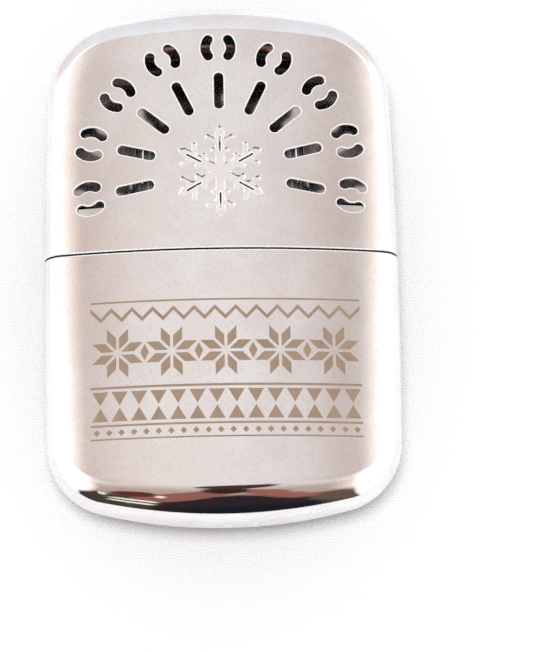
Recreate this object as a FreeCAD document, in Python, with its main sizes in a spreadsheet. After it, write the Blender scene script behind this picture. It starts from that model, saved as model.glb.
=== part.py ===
import FreeCAD, Part
import math
import os

import Sketcher

Vector = FreeCAD.Vector
Rotation = FreeCAD.Rotation
Placement = FreeCAD.Placement
QUARTER = math.pi / 2

# Catalytic hand warmer: a fuel tank packed with wadding, a catalytic burner that pushes onto
# the tank's neck, and a vented cap that slides over the tank's collar.
# Frame: X across the width, Y along the length with the seam at 0 and the cap towards +Y,
# Z up through the thickness.  The warmer lies on the flat land of its back, at Z = 0.

doc = FreeCAD.newDocument("HandWarmer")
sheet = doc.addObject("Spreadsheet::Sheet", "Sizes")

SIZES = {
    # drawn shells
    "body_width": 67.0,
    "body_thickness": 15.5,
    "cap_length": 51.1,
    "tank_length": 51.1,
    "crown_radius": 140.0,
    "edge_radius": 4.4,
    "land_width": 20.0,
    "end_radius": 94.0,
    "cap_corner": 15.5,
    "tank_corner": 13.0,
    "sheet_wall": 0.5,
    "seam_gap": 0.3,
    # vents punched through the front of the cap
    "fan_height": 15.45,
    "fan_pitch": 25.0,
    "vent_count": 9,
    "slot_orbit": 16.35,
    "slot_length": 7.3,
    "kidney_orbit": 25.2,
    "kidney_bend": 2.9,
    "kidney_spread": 0.45,
    "kidney_sweep": 72.0,
    "vent_width": 1.8,
    "vent_flats": 4,
    # collar that the cap slides over
    "slide_clearance": 0.15,
    "collar_height": 9.8,
    "collar_skirt": 4.0,
    "collar_edge": 1.2,
    "collar_wall": 0.5,
    # neck that carries the burner
    "neck_width": 31.6,
    "neck_depth": 7.0,
    "neck_height": 3.2,
    "neck_wall": 0.5,
    "neck_flange": 1.5,
    "neck_clearance": 0.05,
    "screen_wall": 0.4,
    "screen_recess": 0.4,
    "slit_count": 5,
    "slit_pitch": 5.6,
    "slit_length": 4.2,
    "slit_width": 1.4,
    # felt and wadding
    "felt_clearance": 0.2,
    "wadding_clearance": 0.6,
    # burner head
    "push_clearance": 0.08,
    "seat_gap": 0.1,
    "burner_wall": 0.4,
    "chamber_height": 9.6,
    "window_count": 6,
    "window_pitch": 4.3,
    "window_width": 3.0,
    "window_height": 6.2,
    "roof_edge": 0.9,
    "roof_slot_depth": 2.6,
    "roof_slot_width": 1.6,
    "gauze_wall": 0.3,
    "fibre_clearance": 0.1,
}

# how far the crowns fall at the land's edge and at the sides, the height that the sides keep,
# and an edge radius that still fits into that height
FORMULAS = {
    "land_sag": "=crown_radius - sqrt(crown_radius ^ 2 - (land_width / 2) ^ 2)",
    "side_sag": "=crown_radius - sqrt(crown_radius ^ 2 - (body_width / 2) ^ 2)",
    "side_height": "=body_thickness + land_sag - 2 * side_sag",
    "rim_radius": "=min(edge_radius; 0.6 * side_height)",
}

for row, (alias, value) in enumerate({**SIZES, **FORMULAS}.items(), start=1):
    sheet.set(f"A{row}", alias)
    sheet.set(f"B{row}", str(value))
    sheet.setAlias(f"B{row}", alias)
doc.recompute()


def size(alias):
    """The value of a named cell of the sheet."""
    return float(sheet.get(alias))


def total(terms):
    """Sum of named cells; a leading minus takes the cell away."""
    return sum(-size(t[1:]) if t.startswith("-") else size(t) for t in terms)


def formula(terms, factor=1, base=None):
    """The same sum as an expression for setExpression, on top of a base cell."""
    text = f"Sizes.{base} * 1 mm" if base else "0 mm"
    for term in terms:
        sign = "-" if term.startswith("-") else "+"
        text += f" {sign} {factor} * Sizes.{term.lstrip('-')} * 1 mm"
    return text


# the shells' middle plane, and the heights of the axes that the crowns are turned about
MID_HEIGHT = (size("body_thickness") - size("land_sag")) / 2
FRONT_AXIS = size("body_thickness") - size("crown_radius")
BACK_AXIS = size("crown_radius") - size("land_sag")
HALF_WIDTH = size("body_width") / 2

# chamfer legs, as shares of a radius, whose flats hug the round they stand for; the turn from
# a crowned face into a wall is a right angle at the ends and about 76 degrees at the sides
RIM_TURN = math.radians(80)
FIRST_LEG = math.tan(RIM_TURN / 2) - math.tan(RIM_TURN / 4)
SECOND_LEG = math.tan(RIM_TURN / 4) - math.tan(RIM_TURN / 8)


# ---------------------------------------------------------------- sketch and feature helpers


def new_sketch(body, name, role, offset=None):
    """A sketch on one of the body's own origin planes."""
    sketch = body.newObject("Sketcher::SketchObject", name)
    plane = next(f for f in body.Origin.OriginFeatures if f.Role == role)
    sketch.AttachmentSupport = [(plane, "")]
    sketch.MapMode = "FlatFace"
    if offset is not None:
        sketch.AttachmentOffset = offset
    return sketch


def arc(centre, radius, start, end):
    """A sketch arc, anticlockwise from the start angle to the end angle."""
    return Part.ArcOfCircle(Part.Circle(centre, Vector(0, 0, 1), radius), start, end)


def close_loop(sketch, first, count):
    """Joins consecutive edges, end to start, and the last one to the first."""
    for step in range(count):
        here = first + step
        following = first + (step + 1) % count
        sketch.addConstraint(Sketcher.Constraint("Coincident", here, 2, following, 1))


def bind(sketch, name, kind, references, value, expression):
    """Adds a driving dimension and ties it to the sheet."""
    index = sketch.addConstraint(Sketcher.Constraint(kind, *references, value))
    sketch.renameConstraint(index, name)
    sketch.setExpression(f"Constraints.{name}", expression)


def set_terms(feature, name, terms):
    """Ties a length of a feature to a sum of cells."""
    setattr(feature, name, total(terms))
    feature.setExpression(name, formula(terms))


def pad_along_y(body, name, sketch, terms):
    """Pads a sketch of the XZ plane towards +Y."""
    pad = body.newObject("PartDesign::Pad", name)
    pad.Profile = sketch
    pad.Reversed = True
    set_terms(pad, "Length", terms)
    doc.recompute()
    return pad


def pocket(body, name, sketch, reverse=False, both=False):
    """Cuts a sketch right through, and checks that it took metal away."""
    before = body.Tip.Shape.Volume
    cut = body.newObject("PartDesign::Pocket", name)
    cut.Profile = sketch
    if both:
        cut.Midplane = True
        set_terms(cut, "Length", ("cap_length", "tank_length", "body_thickness"))
    else:
        cut.Type = "ThroughAll"
        cut.Reversed = reverse
    doc.recompute()
    if not cut.Shape.Volume < before - 1e-6:
        raise RuntimeError(f"{body.Label}: {name} cuts nothing")
    return cut


def at_y(height):
    """Attachment offset that lifts a sketch of the XZ plane to this height along +Y."""
    return Placement(Vector(0, 0, -height), Rotation())


def edge_names(shape, wanted):
    """Names of the edges for which wanted(edge) is true."""
    return [f"Edge{i}" for i, edge in enumerate(shape.Edges, start=1) if wanted(edge)]


# ---------------------------------------------------------------- drawn shells


def mirrored(point):
    return Vector(-point.x, point.y, 0)


def bearing(vector):
    return math.atan2(vector.y, vector.x)


def plan_sketch(body, length, corner, inset, mouth):
    """Plan of a drawn shell, its end towards +Y: straight sides, round corners, arched end."""
    sketch = new_sketch(body, "plan", "XY_Plane", Placement(Vector(0, 0, -1), Rotation()))
    half = HALF_WIDTH - total(inset)
    corner_radius = size(corner) - total(inset)
    end_radius = size("end_radius") - total(inset)
    end_centre = Vector(0, size(length) - size("end_radius"), 0)
    across = half - corner_radius
    along = end_centre.y + math.sqrt((end_radius - corner_radius) ** 2 - across**2)
    corner_centre = Vector(across, along, 0)
    tilt = bearing(corner_centre - end_centre)
    foot = Vector(half, total(mouth), 0)
    shoulder = Vector(half, along, 0)
    edges = [
        Part.LineSegment(foot, shoulder),
        arc(corner_centre, corner_radius, 0, tilt),
        arc(end_centre, end_radius, tilt, math.pi - tilt),
        arc(mirrored(corner_centre), corner_radius, math.pi - tilt, math.pi),
        Part.LineSegment(mirrored(shoulder), mirrored(foot)),
        Part.LineSegment(mirrored(foot), foot),
    ]
    sketch.addGeometry(edges, False)
    for first in range(4):
        sketch.addConstraint(Sketcher.Constraint("Tangent", first, 2, first + 1, 1))
    sketch.addConstraint(Sketcher.Constraint("Coincident", 4, 2, 5, 1))
    sketch.addConstraint(Sketcher.Constraint("Coincident", 5, 2, 0, 1))
    sketch.addConstraint(Sketcher.Constraint("Vertical", 0))
    sketch.addConstraint(Sketcher.Constraint("Vertical", 4))
    sketch.addConstraint(Sketcher.Constraint("PointOnObject", 2, 3, -2))
    sketch.addConstraint(Sketcher.Constraint("Symmetric", 0, 1, 4, 2, -2))
    sketch.addConstraint(Sketcher.Constraint("Equal", 1, 3))
    width = formula(inset, -2, "body_width")
    bind(sketch, "width", "DistanceX", (5, 1, 5, 2), 2 * half, width)
    bind(sketch, "corner", "Radius", (1,), corner_radius, formula(inset, -1, corner))
    bind(sketch, "end", "Radius", (2,), end_radius, formula(inset, -1, "end_radius"))
    bind(sketch, "mouth", "DistanceY", (-1, 1, 0, 1), total(mouth), formula(mouth))
    reach = f"Sizes.{length} * 1 mm - Sizes.end_radius * 1 mm"
    bind(sketch, "reach", "DistanceY", (-1, 1, 2, 3), end_centre.y, reach)
    return sketch


def crown_sketch(body, inset):
    """What the crowned front and the crowned back with its flat land leave outside them."""
    sketch = new_sketch(body, "crowns", "XZ_Plane")
    radius = size("crown_radius") - total(inset)
    reach = math.asin((HALF_WIDTH + 2) / radius)
    above = size("body_thickness") + 1
    below = -1
    edge_x = radius * math.sin(reach)
    front_z = FRONT_AXIS + radius * math.cos(reach)
    back_z = BACK_AXIS - radius * math.cos(reach)
    land_z = total(inset)
    land_x = math.sqrt(radius**2 - (BACK_AXIS - land_z) ** 2)
    land_angle = math.asin(land_x / radius)
    front = Vector(0, FRONT_AXIS, 0)
    back = Vector(0, BACK_AXIS, 0)
    corners_above = [
        Vector(-edge_x, front_z, 0),
        Vector(-edge_x, above, 0),
        Vector(edge_x, above, 0),
        Vector(edge_x, front_z, 0),
    ]
    corners_below = [
        Vector(edge_x, back_z, 0),
        Vector(edge_x, below, 0),
        Vector(-edge_x, below, 0),
        Vector(-edge_x, back_z, 0),
    ]
    loop_above = [arc(front, radius, QUARTER - reach, QUARTER + reach)]
    loop_above += [Part.LineSegment(a, b) for a, b in zip(corners_above, corners_above[1:])]
    loop_below = [
        arc(back, radius, -QUARTER - reach, -QUARTER - land_angle),
        Part.LineSegment(Vector(-land_x, land_z, 0), Vector(land_x, land_z, 0)),
        arc(back, radius, -QUARTER + land_angle, -QUARTER + reach),
    ]
    loop_below += [Part.LineSegment(a, b) for a, b in zip(corners_below, corners_below[1:])]
    sketch.addGeometry(loop_above + loop_below, False)
    close_loop(sketch, 0, len(loop_above))
    close_loop(sketch, len(loop_above), len(loop_below))
    bind(sketch, "front", "Radius", (0,), radius, formula(inset, -1, "crown_radius"))
    sketch.addConstraint(Sketcher.Constraint("Equal", 0, 4))
    sketch.addConstraint(Sketcher.Constraint("Equal", 0, 6))
    return sketch


def is_rim_edge(edge, inset, mouth):
    """True for the edges where the crowned faces meet the walls."""
    points = [v.Point for v in edge.Vertexes]
    if all(abs(p.y - total(mouth)) < 1e-4 for p in points):
        return False
    if math.hypot(points[0].x - points[-1].x, points[0].y - points[-1].y) < 1e-4:
        return False
    radius = size("crown_radius") - total(inset)
    crease = math.sqrt(radius**2 - (BACK_AXIS - total(inset)) ** 2)
    return not all(abs(abs(p.x) - crease) < 1e-4 and p.z < MID_HEIGHT / 2 for p in points) or (
        abs(points[0].y - points[-1].y) < 1e-4
    )


def normal_at_middle(face):
    u0, u1, v0, v1 = face.ParameterRange
    return face.normalAt((u0 + u1) / 2, (v0 + v1) / 2)


def bevel_borders(shape, mouth):
    """Long borders of the bevelled faces, where a second bevel goes."""
    bevels = [f for f in shape.Faces if 0.35 < abs(normal_at_middle(f).z) < 0.93]

    def is_border(edge):
        if all(abs(v.Point.y - total(mouth)) < 1e-4 for v in edge.Vertexes):
            return False
        return sum(any(e.isSame(edge) for e in face.Edges) for face in bevels) == 1

    return edge_names(shape, is_border)


def drawn_form(body, length, corner, inset=(), mouth=(), rounds=2):
    """A deep-drawn form: plan padded, both faces crowned, rim rounded by successive bevels.

    Two rounds of bevels leave three flats that hug the edge radius on the outside, which
    keeps these long double-curved edges light.
    """
    slab = body.newObject("PartDesign::Pad", "slab")
    slab.Profile = plan_sketch(body, length, corner, inset, mouth)
    slab.Length = size("body_thickness") + 2
    slab.setExpression("Length", "Sizes.body_thickness * 1 mm + 2 mm")
    doc.recompute()
    pocket(body, "crown_cut", crown_sketch(body, inset), both=True)
    radius_text = "(" + formula(inset, -1, "rim_radius") + ")"
    radius = size("rim_radius") - total(inset)
    bevels = (("rim_bevel", FIRST_LEG), ("rim_round", SECOND_LEG))
    for number, (name, leg) in enumerate(bevels[:rounds]):
        previous = body.Tip
        bevel = body.newObject("PartDesign::Chamfer", name)
        if number == 0:
            edges = edge_names(previous.Shape, lambda edge: is_rim_edge(edge, inset, mouth))
        else:
            edges = bevel_borders(previous.Shape, mouth)
        bevel.Base = (previous, edges)
        bevel.Size = radius * leg
        bevel.setExpression("Size", f"{radius_text} * {leg}")
        doc.recompute()


def hollow_out(body, core):
    """Cuts the core out of a body."""
    hollow = body.newObject("PartDesign::Boolean", "hollow")
    hollow.Type = "Cut"
    hollow.setObjects([core])
    doc.recompute()


def drawn_shell(label, length, corner, mouth):
    """A drawn form hollowed to the sheet's wall, open at its mouth."""
    body = doc.addObject("PartDesign::Body", label)
    drawn_form(body, length, corner, mouth=mouth)
    core = doc.addObject("PartDesign::Body", f"{label}_core")
    drawn_form(core, length, corner, inset=("sheet_wall",), mouth=mouth)
    hollow_out(body, core)
    return body


# ---------------------------------------------------------------- vents of the cap


def fan_offset():
    """Placement of a sketch at the fan's centre, turned to the fan's right-hand end."""
    spread = size("fan_pitch") * (size("vent_count") - 1) / 2
    return Placement(Vector(0, size("fan_height"), MID_HEIGHT), Rotation(Vector(0, 0, 1), -spread))


def fan_pattern(body, name, cut, sketch):
    """Repeats a cut round the fan's centre."""
    before = cut.Shape.Volume
    pattern = body.newObject("PartDesign::PolarPattern", name)
    pattern.Originals = [cut]
    pattern.Axis = (sketch, ["N_Axis"])
    pattern.Angle = size("fan_pitch") * (size("vent_count") - 1)
    pattern.setExpression("Angle", "Sizes.fan_pitch * (Sizes.vent_count - 1) * 1 deg")
    pattern.Occurrences = int(size("vent_count"))
    pattern.setExpression("Occurrences", "Sizes.vent_count")
    body.Tip = pattern
    doc.recompute()
    if not pattern.Shape.Volume < before:
        raise RuntimeError(f"{name} repeats nothing")
    return pattern


def turned(centre, radius, angle):
    return centre + Vector(math.cos(angle), math.sin(angle), 0) * radius


def flats(points):
    """Straight edges through a run of points."""
    return [Part.LineSegment(a, b) for a, b in zip(points, points[1:])]


def round_end(centre, radius, start):
    """Half-round end, anticlockwise from the start angle, drawn as a run of short flats."""
    count = int(size("vent_flats"))
    return flats([turned(centre, radius, start + math.pi * step / count) for step in range(count + 1)])


def add_slot(sketch, centre, length, width):
    """An upright slot with round ends."""
    first = sketch.GeometryCount
    radius = width / 2
    straight = Vector(0, (length - width) / 2, 0)
    side = Vector(radius, 0, 0)
    edges = round_end(centre + straight, radius, 0)
    edges += flats([centre + straight - side, centre - straight - side])
    edges += round_end(centre - straight, radius, math.pi)
    edges += flats([centre - straight + side, centre + straight + side])
    sketch.addGeometry(edges, False)
    close_loop(sketch, first, len(edges))


def add_window(sketch, centre, width, height):
    """A square-cornered opening."""
    first = sketch.GeometryCount
    signs = ((-1, -1), (1, -1), (1, 1), (-1, 1), (-1, -1))
    corners = [centre + Vector(x * width / 2, y * height / 2, 0) for x, y in signs]
    sketch.addGeometry(flats(corners), False)
    close_loop(sketch, first, 4)


def add_kidney(sketch, bend_centre, facing):
    """A bent slot: an arc of the bend radius, widened to the vents' width, with round ends."""
    first = sketch.GeometryCount
    half_width = size("vent_width") / 2
    half_sweep = math.radians(size("kidney_sweep") / 2)
    outer = size("kidney_bend") + half_width
    inner = size("kidney_bend") - half_width
    low = facing - half_sweep
    high = facing + half_sweep
    high_end = round_end(turned(bend_centre, size("kidney_bend"), high), half_width, high)
    low_end = round_end(turned(bend_centre, size("kidney_bend"), low), half_width, low - math.pi)
    edges = [arc(bend_centre, outer, low, high)] + high_end
    edges += [arc(bend_centre, inner, low, high)] + low_end
    sketch.addGeometry(edges, False)
    last = len(edges)
    turn = 1 + len(high_end)
    for step in range(last):
        here_end = 1 if step == turn else 2
        following = (step + 1) % last
        next_start = 2 if following == turn else 1
        pair = (first + step, here_end, first + following, next_start)
        sketch.addConstraint(Sketcher.Constraint("Coincident", *pair))


def punch_vents(body):
    """A fan of straight slots with a fan of kidney pairs round it."""
    slots = new_sketch(body, "slot", "XY_Plane", fan_offset())
    middle = Vector(0, size("slot_orbit"), 0)
    add_slot(slots, middle, size("slot_length"), size("vent_width"))
    slot = pocket(body, "slot_cut", slots, reverse=True)
    fan_pattern(body, "slot_fan", slot, slots)
    kidneys = new_sketch(body, "kidneys", "XY_Plane", fan_offset())
    spread = Vector(size("kidney_spread"), 0, 0)
    orbit = Vector(0, size("kidney_orbit"), 0)
    add_kidney(kidneys, orbit - spread, 0)
    add_kidney(kidneys, orbit + spread, math.pi)
    pair = pocket(body, "kidney_cut", kidneys, reverse=True)
    fan_pattern(body, "kidney_fan", pair, kidneys)


cap = drawn_shell("cap_shell", "cap_length", "cap_corner", ("seam_gap",))
punch_vents(cap)

tank = drawn_shell("tank_shell", "tank_length", "tank_corner", ())
tank.Placement = Placement(Vector(0, 0, 0), Rotation(Vector(0, 0, 1), 180))


# ---------------------------------------------------------------- collar


def stadium_sketch(body, name, offset, grow=()):
    """The neck's oblong outline, grown on every side by a sum of cells."""
    sketch = new_sketch(body, name, "XZ_Plane", offset)
    width = size("neck_width") + 2 * total(grow)
    depth = size("neck_depth") + 2 * total(grow)
    radius = depth / 2
    right = Vector((width - depth) / 2, MID_HEIGHT, 0)
    left = mirrored(right)
    top = Vector(0, radius, 0)
    edges = [
        arc(right, radius, -QUARTER, QUARTER),
        Part.LineSegment(right + top, left + top),
        arc(left, radius, QUARTER, 3 * QUARTER),
        Part.LineSegment(left - top, right - top),
    ]
    sketch.addGeometry(edges, False)
    close_loop(sketch, 0, len(edges))
    sketch.addConstraint(Sketcher.Constraint("Equal", 0, 2))
    span = formula(grow, 2, "neck_width") + " - (" + formula(grow, 2, "neck_depth") + ")"
    half_depth = "(" + formula(grow, 2, "neck_depth") + ") / 2"
    bind(sketch, "end", "Radius", (0,), radius, half_depth)
    bind(sketch, "span", "DistanceX", (2, 3, 0, 3), width - depth, span)
    return sketch


def bevel_top(body, name, base, height, alias):
    """Bevels the border of the face that closes a feature at this height, hugging a radius."""
    border = edge_names(base.Shape, lambda e: all(abs(v.Point.y - height) < 1e-4 for v in e.Vertexes))
    bevel = body.newObject("PartDesign::Chamfer", name)
    bevel.Base = (base, border)
    bevel.Size = size(alias) * FIRST_LEG
    bevel.setExpression("Size", f"Sizes.{alias} * {FIRST_LEG}")
    doc.recompute()


COLLAR_INSET = ("sheet_wall", "slide_clearance")
COLLAR_INNER = COLLAR_INSET + ("collar_wall",)
DECK_TOP = size("collar_height")
DECK_UNDER = DECK_TOP - size("collar_wall")
NECK_TOP = DECK_TOP + size("neck_height")


def collar_form(body, inset, top):
    """The shells' own form moved inwards, from the skirt's foot to a flat top."""
    drawn_form(body, "cap_length", "cap_corner", inset=inset, mouth=("-collar_skirt",))
    outside = new_sketch(body, "beyond_top", "XZ_Plane", at_y(total(top)))
    add_window(outside, Vector(0, MID_HEIGHT, 0), size("body_width") + 2, size("body_thickness") + 2)
    pocket(body, "flat_top", outside)


def make_collar():
    """Stepped-in collar with a flat deck; its skirt sits inside the tank's mouth."""
    body = doc.addObject("PartDesign::Body", "tank_collar")
    collar_form(body, COLLAR_INSET, ("collar_height",))
    bevel_top(body, "deck_edge", body.Tip, DECK_TOP, "collar_edge")
    core = doc.addObject("PartDesign::Body", "tank_collar_core")
    collar_form(core, COLLAR_INNER, ("collar_height", "-collar_wall"))
    hollow_out(body, core)
    opening = stadium_sketch(body, "opening", at_y(0), ("neck_clearance",))
    pocket(body, "neck_opening", opening)


def make_neck():
    """Oblong neck, flanged under the deck, that the burner pushes onto."""
    body = doc.addObject("PartDesign::Body", "filler_neck")
    start = at_y(DECK_UNDER - size("neck_wall"))
    flange = stadium_sketch(body, "flange_outline", start, ("neck_flange",))
    pad_along_y(body, "flange", flange, ("neck_wall",))
    tube = stadium_sketch(body, "tube_outline", start)
    pad_along_y(body, "tube", tube, ("neck_wall", "collar_wall", "neck_height"))
    pocket(body, "bore", stadium_sketch(body, "bore_outline", start, ("-neck_wall",)))


def add_row(sketch, count, pitch, height, width, depth):
    """A row of openings across the neck, centred on this height of the sketch."""
    for index in range(count):
        centre = Vector((index - (count - 1) / 2) * pitch, height, 0)
        add_window(sketch, centre, width, depth)


def cut_slits(body, offset, name):
    """A row of slits along the neck's long way, for the vapour."""
    sketch = new_sketch(body, f"{name}_sketch", "XZ_Plane", offset)
    count = int(size("slit_count"))
    add_row(sketch, count, size("slit_pitch"), MID_HEIGHT, size("slit_length"), size("slit_width"))
    pocket(body, name, sketch)


def make_screen():
    """Slotted plate that keeps the felt down in the neck's mouth."""
    body = doc.addObject("PartDesign::Body", "neck_screen")
    start = at_y(NECK_TOP - size("screen_recess") - size("screen_wall"))
    plate = stadium_sketch(body, "plate_outline", start, ("-neck_wall", "-neck_clearance"))
    pad_along_y(body, "plate", plate, ("screen_wall",))
    cut_slits(body, start, "slits")


make_collar()
make_neck()
make_screen()


# ---------------------------------------------------------------- felt and wadding

FELT_BASE = DECK_UNDER - size("neck_wall") - size("felt_clearance")


def make_felt():
    """Felt wick that fills the neck, from the wadding up to the screen."""
    body = doc.addObject("PartDesign::Body", "wick_felt")
    outline = stadium_sketch(body, "outline", at_y(FELT_BASE), ("-neck_wall", "-felt_clearance"))
    rise = ("neck_wall", "collar_wall", "neck_height", "-screen_recess", "-screen_wall")
    pad_along_y(body, "pad", outline, rise)


def make_wadding():
    """Cotton wadding that fills the tank and the inside of the collar."""
    body = doc.addObject("PartDesign::Body", "cotton_wadding")
    inset = COLLAR_INNER + ("wadding_clearance",)
    fill = ("-collar_height", "collar_wall", "neck_wall", "felt_clearance")
    drawn_form(body, "tank_length", "tank_corner", inset=inset, mouth=fill, rounds=1)
    body.Placement = Placement(Vector(0, 0, 0), Rotation(Vector(0, 0, 1), 180))


make_felt()
make_wadding()


# ---------------------------------------------------------------- burner head

BASE_FOOT = DECK_TOP + size("seat_gap")
FLOOR_UNDER = NECK_TOP + size("seat_gap")
FLOOR_TOP = FLOOR_UNDER + size("burner_wall")
BURNER_OUTER = ("push_clearance", "burner_wall")


def make_burner_base():
    """Cup that pushes over the neck, with vapour slits through its floor."""
    body = doc.addObject("PartDesign::Body", "burner_base")
    foot = at_y(BASE_FOOT)
    outline = stadium_sketch(body, "outline", foot, BURNER_OUTER)
    pad_along_y(body, "cup", outline, ("neck_height", "burner_wall"))
    inside = body.newObject("PartDesign::Pocket", "socket")
    inside.Profile = stadium_sketch(body, "socket_outline", foot, ("push_clearance",))
    set_terms(inside, "Length", ("neck_height",))
    doc.recompute()
    cut_slits(body, foot, "vapour_slits")


def make_burner_cover():
    """Hood over the catalyst: window bars front and back, rounded roof with holes."""
    body = doc.addObject("PartDesign::Body", "burner_cover")
    foot = at_y(FLOOR_TOP)
    hood = pad_along_y(body, "hood", stadium_sketch(body, "outline", foot, BURNER_OUTER), ("chamber_height",))
    roof = FLOOR_TOP + size("chamber_height")
    bevel_top(body, "roof_bevel", hood, roof, "roof_edge")
    inside = body.newObject("PartDesign::Pocket", "chamber")
    inside.Profile = stadium_sketch(body, "chamber_outline", foot, ("push_clearance",))
    set_terms(inside, "Length", ("chamber_height", "-burner_wall"))
    doc.recompute()
    cut_windows(body)
    cut_roof_slots(body, foot)


def cut_windows(body):
    """Upright windows, punched through the front and the back wall together."""
    sketch = new_sketch(body, "windows_sketch", "XY_Plane")
    count = int(size("window_count"))
    middle = FLOOR_TOP + (size("chamber_height") - size("burner_wall")) / 2
    add_row(sketch, count, size("window_pitch"), middle, size("window_width"), size("window_height"))
    pocket(body, "windows", sketch, both=True)


def cut_roof_slots(body, foot):
    """A row of slots through the roof, one over each bar between the windows."""
    sketch = new_sketch(body, "roof_sketch", "XZ_Plane", foot)
    count = int(size("window_count")) - 1
    width = size("roof_slot_width")
    add_row(sketch, count, size("window_pitch"), MID_HEIGHT, width, size("roof_slot_depth"))
    pocket(body, "roof_slots", sketch)


def make_gauze():
    """Gauze sleeve that holds the fibre behind the windows."""
    body = doc.addObject("PartDesign::Body", "burner_gauze")
    foot = at_y(FLOOR_TOP)
    outer = stadium_sketch(body, "outline", foot, ("push_clearance", "-fibre_clearance"))
    pad_along_y(body, "sleeve", outer, ("chamber_height", "-burner_wall", "-fibre_clearance"))
    inner = ("push_clearance", "-fibre_clearance", "-gauze_wall")
    pocket(body, "bore", stadium_sketch(body, "bore_outline", foot, inner))


def make_catalyst():
    """Glass-fibre mat that carries the catalyst."""
    body = doc.addObject("PartDesign::Body", "catalyst_mat")
    shrink = ("push_clearance", "-fibre_clearance", "-gauze_wall", "-fibre_clearance")
    outline = stadium_sketch(body, "outline", at_y(FLOOR_TOP), shrink)
    pad_along_y(body, "mat", outline, ("chamber_height", "-burner_wall", "-fibre_clearance"))


make_burner_base()
make_burner_cover()
make_gauze()
make_catalyst()


# ---------------------------------------------------------------- checks and export

doc.recompute()
for item in doc.Objects:
    if "Invalid" in item.State or "Error" in item.State:
        raise RuntimeError(f"{item.Label} failed to recompute")

os.makedirs("parts", exist_ok=True)
for body in doc.Objects:
    if body.TypeId != "PartDesign::Body" or body.Label.endswith("_core"):
        continue
    if body.Shape.isNull() or not body.Shape.isValid():
        raise RuntimeError(f"{body.Label} has no valid shape")
    body.Shape.exportStep(f"parts/{body.Label}.step")
    box = body.Shape.BoundBox
    span = f"{box.XLength:.2f} x {box.YLength:.2f} x {box.ZLength:.2f}"
    print(f"{body.Label}: {len(body.Shape.Solids)} solid, {body.Shape.Volume:.1f} mm3, {span} mm")
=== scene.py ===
# %% [markdown]
# # A catalytic hand warmer, dressed for a picture
#
# The warmer is a drawn metal tank with a vented cap that slides over its collar. Under the cap
# a small burner glows without a flame. The rigid frame comes in already measured, so this
# lesson only adds what the eye wants: rolled edges, rims on every vent, polish, a stamped
# ornament, an etched band, felt and cotton, and a cloth to lie on.

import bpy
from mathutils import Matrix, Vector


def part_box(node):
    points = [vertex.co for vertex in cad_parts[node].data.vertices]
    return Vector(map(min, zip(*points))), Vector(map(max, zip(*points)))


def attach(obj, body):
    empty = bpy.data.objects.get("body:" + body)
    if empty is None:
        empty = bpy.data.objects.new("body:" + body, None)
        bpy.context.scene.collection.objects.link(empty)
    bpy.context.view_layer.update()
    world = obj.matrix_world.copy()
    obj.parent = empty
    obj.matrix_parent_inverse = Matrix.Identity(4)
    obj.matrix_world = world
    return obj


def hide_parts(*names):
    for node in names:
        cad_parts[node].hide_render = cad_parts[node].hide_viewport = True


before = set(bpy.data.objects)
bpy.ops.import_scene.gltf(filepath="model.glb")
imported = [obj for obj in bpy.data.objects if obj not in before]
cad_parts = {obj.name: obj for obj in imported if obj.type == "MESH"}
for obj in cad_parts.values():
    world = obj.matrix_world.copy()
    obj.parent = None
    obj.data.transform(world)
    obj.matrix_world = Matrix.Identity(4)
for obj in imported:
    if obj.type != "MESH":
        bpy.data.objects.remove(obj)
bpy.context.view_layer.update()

# %% Tools of the trade
import math

import bmesh
import bpy
import numpy as np
from mathutils import Matrix, Vector
from mathutils.geometry import delaunay_2d_cdt
from mathutils.kdtree import KDTree

MM = 0.001
rng = np.random.default_rng(7)
scene = bpy.context.scene
print("all sizes below are millimetres until a mesh is built")

# %% [markdown]
# ## The form of the drawn shells
#
# Both halves are pressed from sheet. Looked at from the open end, the section is a flat oval: a
# crowned front, a crowned back with a narrow flat land, and a rolled edge on each side. A bevel
# could make the roll, but polished metal shows every facet. So each point of the edge is worked
# out as a ball that rests against the crown and against the wall, and keeps its exact normal.

# %% Sizes of the shells
WIDTH = 67.0
THICKNESS = 15.5
CROWN = 140.0
LAND = 20.0
LAND_BLEND = 1.0
SHEET = 0.5
SIDE_BOW = 1000.0
HALF = WIDTH / 2
LAND_SAG = CROWN - math.sqrt(CROWN**2 - (LAND / 2) ** 2)
FRONT_AXIS = THICKNESS - CROWN
BACK_AXIS = CROWN - LAND_SAG
RIM = SHEET / 2
CAP = {"end": 51.09, "corner": 15.5, "arch": 94.0, "mouth": 0.3}
TANK = {"end": 51.09, "corner": 13.0, "arch": 94.0, "mouth": 0.0}
print("the crown drops", round(LAND_SAG, 3), "mm at the edge of the land")


# %% The crowned faces
def smooth(value, low, high):
    t = np.clip((value - low) / (high - low), 0, 1)
    return t * t * (3 - 2 * t)


def front_height(x):
    return FRONT_AXIS + np.sqrt(CROWN**2 - x**2)


def back_height(x):
    return np.maximum(BACK_AXIS - np.sqrt(CROWN**2 - x**2), 0)


def front_normal(x):
    return np.stack([x, 0 * x, front_height(x) - FRONT_AXIS], -1) / CROWN


def off_land(x):
    """0 on the flat land along the back and 1 beyond it."""
    return smooth(np.abs(x), LAND / 2 - LAND_BLEND, LAND / 2 + LAND_BLEND)


def back_normal(x):
    tilt = x * off_land(x)
    return np.stack([tilt, 0 * x, -np.sqrt(CROWN**2 - tilt**2)], -1) / CROWN


at_side = np.array([HALF])
print("height at the sides:", (front_height(at_side) - back_height(at_side)).round(2), "mm")


# %% The outline seen from above
SIDE_POINTS, CORNER_POINTS, END_POINTS = 40, 44, 36


def arc(centre, radius, start, end, count):
    """Points of an arc, and the direction outwards at each of them."""
    angle = np.linspace(start, end, count)
    ray = np.stack([np.cos(angle), np.sin(angle)], -1)
    return np.array(centre) + radius * ray, ray


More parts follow.
